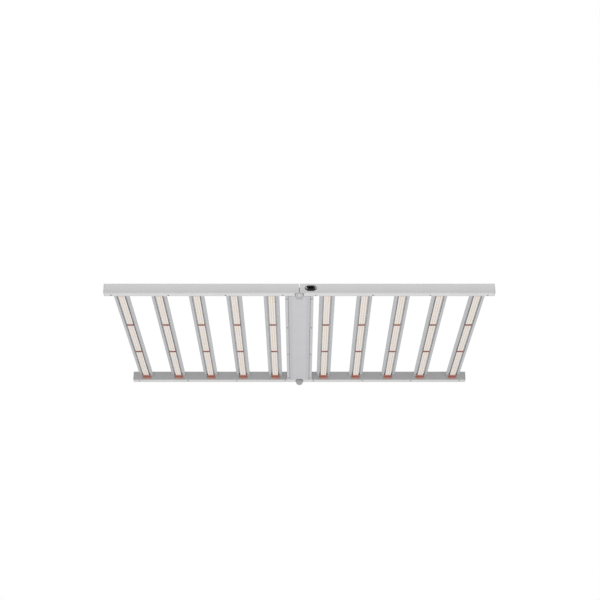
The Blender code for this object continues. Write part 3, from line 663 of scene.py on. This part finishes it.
def pin_mask(graph, point):
    """1 on the power inlet's three pins, and 0 on the rest of it."""
    x, y, z = graph.split(point)
    centre = middle("power_inlet")
    front = low_side("power_inlet", 1)
    across = graph.away(x, float(centre[0]))
    from_pin = graph.maths("MINIMUM", across, graph.away(across, PIN_SPREAD))
    return graph.product(
        graph.maths("LESS_THAN", from_pin, PIN_HALF_WIDTH),
        graph.maths("LESS_THAN", graph.away(z, float(centre[2])), PIN_HALF_HEIGHT),
        graph.between(y, front + PIN_START, front + PIN_END))


def inlet_finish(finishes):
    """Black moulded plastic with a fine grain, and nickel on the pins inside the socket."""
    material, graph, shader = new_finish("black_moulded_plastic", {"Specular IOR Level": 0.2})
    point = graph.place()
    edges = graph.use("softened edges", Radius=0.0006)
    grain = graph.noise(point, scale=2200.0)
    pins = pin_mask(graph, point)
    colour = graph.tones(grain, finishes.plastic, dark=0.85, light=1.2)
    colour = graph.touch(colour, edges["Edge"], strength=0.5, other=shade(finishes.plastic, 2.0))
    graph.feed(shader, "Base Color", graph.blend(pins, colour, shade(finishes.contact)))
    graph.feed(shader, "Metallic", pins)
    graph.roughen(shader, graph.smudge(point, size=0.02), start=0.50, end=0.40)
    graph.bump(shader, grain, distance=0.00006, strength=0.4, Normal=edges["Normal"])
    return material


def driver_finish(finishes):
    """Cast case of the driver: coarse sand grain and dull patches."""
    material, graph, shader = new_finish("cast_driver_case", {"Metallic": 0.3})
    point = graph.place()
    sand = graph.noise(point, scale=700.0, detail=3.0)
    graph.feed(shader, "Base Color", graph.tones(sand, finishes.driver, dark=0.85, light=1.15))
    graph.roughen(shader, graph.smudge(point, size=0.05), start=0.48, end=0.6)
    graph.bump(shader, sand, distance=0.0002, strength=0.5)
    return material


def dress(names, material):
    """Gives CAD nodes a finish through their material slots."""
    for name in names:
        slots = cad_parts[name].material_slots
        if not slots:
            raise RuntimeError(f"{name} has no material slot")
        for place in slots:
            place.material = material


def new_mesh(name, points, faces):
    """A linked object at the origin, from an array of points and a list of faces."""
    mesh = bpy.data.meshes.new(name)
    mesh.from_pydata(points.tolist(), [], faces)
    mesh.update()
    item = bpy.data.objects.new(name, mesh)
    bpy.context.scene.collection.objects.link(item)
    return item


def add_piece(name, points, faces, materials, material_index, body):
    """A new piece from arrays of points and of faces, riding on a body."""
    piece = new_mesh(name, points, faces)
    for material in materials:
        piece.data.materials.append(material)
    piece.data.polygons.foreach_set("material_index", np.asarray(material_index, np.int32))
    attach(piece, body)
    return piece


def repeat(points, faces, places, turn, angles=None):
    """One shape set at many places: spun about +Z, turned to face its way and moved there."""
    count, size = len(places), len(points)
    spin = np.zeros(count) if angles is None else angles
    cosine, sine = np.cos(spin)[:, None], np.sin(spin)[:, None]
    x, y = points[:, 0], points[:, 1]
    z = np.broadcast_to(points[:, 2], (count, size))
    spun = np.stack([cosine * x - sine * y, sine * x + cosine * y, z], axis=2)
    placed = spun @ turn.T + np.asarray(places)[:, None, :]
    starts = np.arange(count) * size
    listed = [(np.asarray(face)[None, :] + starts[:, None]).tolist() for face in faces]
    return placed.reshape(-1, 3), [face for same in zip(*listed) for face in same]


def package_shape(width, height):
    """An LED package: a square ring with one corner cut, over its rim and down to the gel.

    Ring k is the base ring times share[k] at level[k]. The gel is a shallow fan from the last
    ring to a point at its middle.
    """
    half = width / 2
    notch = 0.55
    gel_crown = 0.95
    ring = half * np.array([(-1, -1), (1, -1), (1, notch), (notch, 1), (-1, 1)])
    share = np.array([1.0, 0.97, 0.80, 0.77])
    level = height * np.array([0.0, 1.0, 1.0, 0.86])
    flat = share[:, None, None] * ring[None, :, :]
    up = np.broadcast_to(level[:, None, None], (len(level), len(ring), 1))
    points = np.concatenate([flat, up], axis=2).reshape(-1, 3)
    points = np.vstack([points, (0.0, 0.0, height * gel_crown)])
    count = len(ring)
    low = np.arange(count)
    following = (low + 1) % count
    walls = [
        (low + count * k, following + count * k, following + count * (k + 1), low + count * (k + 1))
        for k in range(len(level) - 1)]
    sides = np.concatenate([np.stack(wall, axis=1) for wall in walls]).tolist()
    last = count * (len(level) - 1)
    tip = np.full(count, len(points) - 1)
    gel = np.stack([low + last, following + last, tip], axis=1).tolist()
    return points, [*sides, *gel, low[::-1].tolist()], [0] * len(sides) + [1] * len(gel) + [0]


def screw_shape(diameter, height, recess):
    """A pan-head screw with a cross recess.

    A square grid (u, v) is drawn out to a disc by x = u sqrt(1 - v^2 / 2) and
    y = v sqrt(1 - u^2 / 2). Its level is a dome, height (1 - drop r^4), less
    recess (1 - taper r) where (u, v) lies in one of two crossed arms. The rim drops to the seat
    and a flat base closes it.
    """
    arm, reach, wall = 0.13, 0.52, 0.05
    shoulder, rim_start = 0.80, 0.93
    drop, taper = 0.45, 0.5
    tiny = 1e-6
    line = np.array([arm, arm + wall, reach, reach + wall, shoulder, rim_start, 1.0])
    line = np.concatenate([-line[::-1], line])
    u, v = np.meshgrid(line, line, indexing="ij")
    x, y = u * np.sqrt(1 - v**2 / 2), v * np.sqrt(1 - u**2 / 2)
    radius = np.sqrt(x**2 + y**2)
    level = height * (1 - drop * radius**4)
    long_u = (np.abs(u) <= reach + tiny) & (np.abs(v) <= arm + tiny)
    long_v = (np.abs(v) <= reach + tiny) & (np.abs(u) <= arm + tiny)
    level = np.where(long_u | long_v, level - recess * (1 - taper * radius), level)
    half = diameter / 2
    top = np.stack([x * half, y * half, level], axis=2).reshape(-1, 3)
    count = len(line)
    index = np.arange(count * count).reshape(count, count)
    corners = [index[:-1, :-1], index[1:, :-1], index[1:, 1:], index[:-1, 1:]]
    quads = np.stack(corners, axis=2).reshape(-1, 4)
    rim = np.concatenate([index[:-1, 0], index[-1, :-1], index[:0:-1, -1], index[0, :0:-1]])
    base = top[rim] * (1, 1, 0)
    low = len(top) + np.arange(len(rim))
    skirt = np.stack([np.roll(rim, -1), rim, low, np.roll(low, -1)], axis=1)
    faces = [*quads.tolist(), *skirt.tolist(), low[::-1].tolist()]
    return np.vstack([top, base]), faces


def section_windows(leds):
    """A board's bare stretches between its seal's plugs and straps, as rows of (low, high) on Y."""
    low, high = (float(corner[1]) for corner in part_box("right_bar_1"))
    bare = high - low - 2 * leds.end_cover - (leds.sections - 1) * leds.joint_cover
    length = bare / leds.sections
    starts = low + leds.end_cover + np.arange(leds.sections) * (length + leds.joint_cover)
    return np.stack([starts, starts + length], axis=1)


def package_places(leds, wing):
    """The middles of a wing's packages: every bar, section, row and column crossed."""
    bars = np.array(
        [middle(f"{wing}_led_board_{number}")[0] for number in range(1, BARS_PER_WING + 1)])
    windows = section_windows(leds)
    step = (np.arange(leds.rows) + 0.5) / leds.rows
    along = (windows[:, :1] + step[None, :] * (windows[:, 1:] - windows[:, :1])).ravel()
    across = (np.arange(leds.columns) - (leds.columns - 1) / 2) * leds.column_pitch
    x, y, offset = np.meshgrid(bars, along, across, indexing="ij")
    face = low_side(f"{wing}_led_board_1", 2)
    return np.stack([(x + offset).ravel(), y.ravel(), np.full(x.size, face)], axis=1)


class GROWLIGHT_OT_coat_frame(bpy.types.Operator):
    """Powder-coats the rails, their covers and their end caps"""

    bl_idname = "growlight.coat_frame"
    bl_label = "Powder-coat Frame"

    def execute(self, context):
        finishes = context.scene.growlight_finishes
        names = corner_nodes("rail", "rail_cover", "end_cap")
        dress(names, powder_finish("silver_powder_coat", finishes.coat, finishes))
        return {"FINISHED"}


class GROWLIGHT_OT_coat_box(bpy.types.Operator):
    """Powder-coats the driver box's cover, housing and end plates"""

    bl_idname = "growlight.coat_box"
    bl_label = "Powder-coat Driver Box"

    def execute(self, context):
        finishes = context.scene.growlight_finishes
        colour = finishes.box_coat
        names = ["driver_housing", "driver_front_end_plate", "driver_rear_end_plate"]
        dress(names, powder_finish("box_powder_coat", colour, finishes))
        # The cover gets painted shade on its border strips and in its beads
        cover = powder_finish("cover_powder_coat", colour, finishes, shade_painter=paint_cover_shade)
        dress(["driver_cover"], cover)
        return {"FINISHED"}


class GROWLIGHT_OT_anodise_bars(bpy.types.Operator):
    """Anodises the LED bars"""

    bl_idname = "growlight.anodise_bars"
    bl_label = "Anodise Bars"

    def execute(self, context):
        dress(bar_nodes("bar"), anodised_finish(context.scene.growlight_finishes))
        return {"FINISHED"}


class GROWLIGHT_OT_print_boards(bpy.types.Operator):
    """Gives the LED boards their solder mask and tracks"""

    bl_idname = "growlight.print_boards"
    bl_label = "Print LED Boards"

    def execute(self, context):
        dress(bar_nodes("led_board"), board_finish(context.scene.growlight_leds))
        return {"FINISHED"}


class GROWLIGHT_OT_place_packages(bpy.types.Operator):
    """Sets the LED packages on the boards"""

    bl_idname = "growlight.place_packages"
    bl_label = "Place LED Packages"

    def execute(self, context):
        leds = context.scene.growlight_leds
        materials = [resin_finish(leds), phosphor_finish(leds)]
        points, faces, kinds = package_shape(leds.width, leds.height)
        draws = np.random.default_rng(PACKAGE_SEED)
        for wing in WINGS:
            places = package_places(leds, wing)
            placed, listed = repeat(points, faces, places, FACING["down"])
            piece = add_piece(
                f"{wing}_led_packages", placed, listed, materials, np.tile(kinds, len(places)),
                f"{wing}_wing")
            number = np.arange(len(places))
            neutral = (number // leds.columns + number) % NEUTRAL_EVERY == 0
            tint = np.clip(neutral + draws.normal(0.0, TINT_SPREAD, len(places)), 0.0, 1.0)
            layer = piece.data.attributes.new("tint", "FLOAT", "POINT")
            layer.data.foreach_set("value", np.repeat(tint, len(points)).astype(np.float32))
        return {"FINISHED"}


class GROWLIGHT_OT_mould_seals(bpy.types.Operator):
    """Gives the seals their red silicone"""

    bl_idname = "growlight.mould_seals"
    bl_label = "Mould Seals"

    def execute(self, context):
        dress(bar_nodes("seal"), silicone_finish(context.scene.growlight_finishes))
        return {"FINISHED"}


class GROWLIGHT_OT_plate_hardware(bpy.types.Operator):
    """Gives the hinge leaves their cast zinc, and the pins, nuts and inserts their zinc plating"""

    bl_idname = "growlight.plate_hardware"
    bl_label = "Plate Hardware"

    def execute(self, context):
        finishes = context.scene.growlight_finishes
        names = corner_nodes("hanging_insert")
        names += [f"{side}_hinge_{piece}" for side in SIDES for piece in ("pin", "nut")]
        dress(names, plated_finish(
            "zinc_plate", finishes.zinc, line=0.0004, metallic=0.3, rough=0.55))
        dress(corner_nodes("hinge_leaf"), plated_finish(
            "cast_zinc", finishes.casting, line=0.0008, metallic=0.1, rough=0.62, cast=0.68))
        return {"FINISHED"}


class GROWLIGHT_OT_mould_inlet(bpy.types.Operator):
    """Gives the power inlet its black plastic and nickel pins"""

    bl_idname = "growlight.mould_inlet"
    bl_label = "Mould Power Inlet"

    def execute(self, context):
        dress(["power_inlet"], inlet_finish(context.scene.growlight_finishes))
        return {"FINISHED"}


class GROWLIGHT_OT_cast_driver(bpy.types.Operator):
    """Gives the LED driver its cast case"""

    bl_idname = "growlight.cast_driver"
    bl_label = "Cast Driver Case"

    def execute(self, context):
        dress(["led_driver"], driver_finish(context.scene.growlight_finishes))
        return {"FINISHED"}


class GROWLIGHT_OT_fit_screws(bpy.types.Operator):
    """Fits the screws of the rail covers, the driver cover and the power inlet"""

    bl_idname = "growlight.fit_screws"
    bl_label = "Fit Screws"

    def fit(self, name, head, places, facing, body, draws, material):
        """One piece with all the screws of one kind on one body."""
        points, faces = screw_shape(head, head * HEAD_HEIGHT, head * HEAD_RECESS)
        angles = draws.uniform(0.0, math.tau, len(places))
        placed, listed = repeat(points, faces, np.array(places), FACING[facing], angles)
        add_piece(name, placed, listed, [material], np.zeros(len(listed)), body)

    def execute(self, context):
        sizes, finishes = context.scene.growlight_screws, context.scene.growlight_finishes
        dark = plated_finish("screw_steel", finishes.steel, line=0.0003)
        bright = plated_finish("bright_screw_steel", finishes.bright_steel, line=0.0003)
        draws = np.random.default_rng(SCREW_SEED)
        rail_y = abs(low_side("left_front_rail", 1)) - sizes.rail_inset
        for wing, sign in zip(WINGS, (-1, 1)):
            low = low_side(f"{wing}_front_rail_cover", 2)
            steps = range(sizes.rail_count)
            along = [sign * (sizes.rail_first + sizes.rail_pitch * step) for step in steps]
            places = [(x, side * rail_y, low) for side in (-1, 1) for x in along]
            self.fit(
                f"{wing}_rail_screws", sizes.rail_head, places, "down", f"{wing}_wing", draws, dark)
        flange = low_side("driver_cover", 2)
        ends = (-sizes.box_outer, -sizes.box_inner, sizes.box_inner, sizes.box_outer)
        places = [(side * sizes.box_across, y, flange) for side in (-1, 1) for y in ends]
        self.fit("driver_cover_screws", sizes.box_head, places, "down", "right_wing", draws, dark)
        centre = middle("power_inlet")
        face = low_side("power_inlet", 1)
        spread = sizes.inlet_spread / 2
        places = [(centre[0] + side * spread, face, centre[2]) for side in (-1, 1)]
        self.fit("inlet_screws", sizes.inlet_head, places, "front", "right_wing", draws, bright)
        return {"FINISHED"}


def floor_piece(studio):
    """A round floor: radius times (cos a, sin a) on a grid of rings and angles, flat on Z."""
    rings, steps = 12, 96
    radius = studio.floor_radius * np.linspace(0.0, 1.0, rings + 1)[1:]
    angle = np.linspace(0.0, math.tau, steps, endpoint=False)
    flat = radius[:, None, None] * np.stack([np.cos(angle), np.sin(angle)], axis=1)[None]
    level = np.full((rings, steps, 1), studio.floor_level)
    points = np.concatenate([flat, level], axis=2).reshape(-1, 3)
    index = np.arange(rings * steps).reshape(rings, steps)
    following = np.roll(index, -1, axis=1)
    corners = [index[:-1], index[1:], following[1:], following[:-1]]
    quads = np.stack(corners, axis=2).reshape(-1, 4)
    floor = new_mesh("studio_floor", points, [*quads.tolist(), index[0].tolist()])
    return floor


def floor_finish(studio):
    """Pale paint that fades out towards the floor's edge."""
    fade_start, fade_end = 0.35, 0.98
    material = bpy.data.materials.new("pale_floor")
    material.use_nodes = True
    graph = Graph(material.node_tree)
    point = graph.place()
    flat = graph.vector("MULTIPLY", point, (1.0, 1.0, 0.0))
    out = graph.add("VectorMath", {0: flat}, operation="LENGTH").outputs["Value"]
    fade = graph.spread(out, studio.floor_radius * fade_start, studio.floor_radius * fade_end)
    speck = graph.noise(point, scale=14.0, detail=3.0)
    colour = graph.tones(speck, studio.floor_colour, dark=0.98, light=1.02)
    paint = graph.add("BsdfDiffuse", {"Color": colour}).outputs[0]
    clear = graph.add("BsdfTransparent").outputs[0]
    mixed = graph.add("MixShader", {0: fade, 1: paint, 2: clear}).outputs[0]
    graph.add("OutputMaterial", {"Surface": mixed})
    return material


def studio_world(studio):
    """White to the camera and in reflections, and an even soft light on the object."""
    world = bpy.data.worlds.new("studio_world")
    world.use_nodes = True
    graph = Graph(world.node_tree)
    light = graph.add("Background", {"Color": WHITE, "Strength": studio.surround}).outputs[0]
    white = graph.add("Background", {"Color": WHITE, "Strength": 1.0}).outputs[0]
    rays = graph.add("LightPath").outputs
    seen = graph.maths("MAXIMUM", rays["Is Camera Ray"], rays["Is Glossy Ray"])
    seen = graph.maths("MAXIMUM", seen, rays["Is Transmission Ray"])
    mixed = graph.add("MixShader", {0: seen, 1: light, 2: white}).outputs[0]
    graph.add("OutputWorld", {"Surface": mixed})
    return world


class GROWLIGHT_OT_build_studio(bpy.types.Operator):
    """Makes the floor, the lights and the camera"""

    bl_idname = "growlight.build_studio"
    bl_label = "Build Studio"

    def lamp(self, name, place, target, size, power):
        """A rectangular soft lamp aimed at a point."""
        light = bpy.data.lights.new(name, "AREA")
        light.shape = "RECTANGLE"
        light.size, light.size_y = size
        light.energy = power
        item = bpy.data.objects.new(name, light)
        item.location = place
        x, y, z = np.array(target) - np.array(place)
        item.rotation_euler = (
            math.atan2(math.hypot(x, y), -z), 0.0, math.atan2(x, -y) + math.pi)
        item.visible_camera = False
        bpy.context.scene.collection.objects.link(item)

    def execute(self, context):
        scene, studio = context.scene, context.scene.growlight_studio
        scene.view_settings.view_transform = "Standard"
        floor_piece(studio).data.materials.append(floor_finish(studio))
        scene.world = studio_world(studio)
        self.lamp("strip_lamp", *STRIP_LAMP, studio.strip_power)
        self.lamp("under_lamp", *UNDER_LAMP, studio.under_power)
        self.lamp("over_lamp", *OVER_LAMP, studio.over_power)
        lens = bpy.data.cameras.new("photo_camera")
        lens.lens = studio.camera_lens
        lens.sensor_width = SENSOR_WIDTH
        camera = bpy.data.objects.new("photo_camera", lens)
        camera.location = studio.camera_place
        camera.rotation_euler = (math.pi / 2 + studio.camera_pitch, 0.0, 0.0)
        scene.collection.objects.link(camera)
        scene.camera = camera
        return {"FINISHED"}


OPERATORS = (
    GROWLIGHT_OT_coat_frame,
    GROWLIGHT_OT_coat_box,
    GROWLIGHT_OT_anodise_bars,
    GROWLIGHT_OT_print_boards,
    GROWLIGHT_OT_place_packages,
    GROWLIGHT_OT_mould_seals,
    GROWLIGHT_OT_plate_hardware,
    GROWLIGHT_OT_mould_inlet,
    GROWLIGHT_OT_cast_driver,
    GROWLIGHT_OT_fit_screws,
    GROWLIGHT_OT_build_studio,
)
SETTINGS = {
    "growlight_finishes": GrowLightFinishes,
    "growlight_leds": GrowLightLeds,
    "growlight_screws": GrowLightScrews,
    "growlight_studio": GrowLightStudio,
}


class GROWLIGHT_PT_panel(bpy.types.Panel):
    """Lists the light's settings and steps"""

    bl_idname = "GROWLIGHT_PT_panel"
    bl_label = "Grow Light"
    bl_space_type = "VIEW_3D"
    bl_region_type = "UI"
    bl_category = "Grow Light"

    def draw(self, context):
        for name, kind in SETTINGS.items():
            box = self.layout.box()
            values = getattr(context.scene, name)
            for key in kind.__annotations__:
                box.prop(values, key)
        for operator in OPERATORS:
            self.layout.operator(operator.bl_idname)


CLASSES = (*SETTINGS.values(), *OPERATORS, GROWLIGHT_PT_panel)


def register():
    for item in CLASSES:
        bpy.utils.register_class(item)
    for name, kind in SETTINGS.items():
        setattr(bpy.types.Scene, name, PointerProperty(type=kind))


def unregister():
    for name in SETTINGS:
        delattr(bpy.types.Scene, name)
    for item in reversed(CLASSES):
        bpy.utils.unregister_class(item)


def main():
    """Registers the add-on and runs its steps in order."""
    register()
    bpy.ops.growlight.coat_frame()
    bpy.ops.growlight.coat_box()
    bpy.ops.growlight.anodise_bars()
    bpy.ops.growlight.print_boards()
    bpy.ops.growlight.place_packages()
    bpy.ops.growlight.mould_seals()
    bpy.ops.growlight.plate_hardware()
    bpy.ops.growlight.mould_inlet()
    bpy.ops.growlight.cast_driver()
    bpy.ops.growlight.fit_screws()
    bpy.ops.growlight.build_studio()


if __name__ == "__main__":
    main()
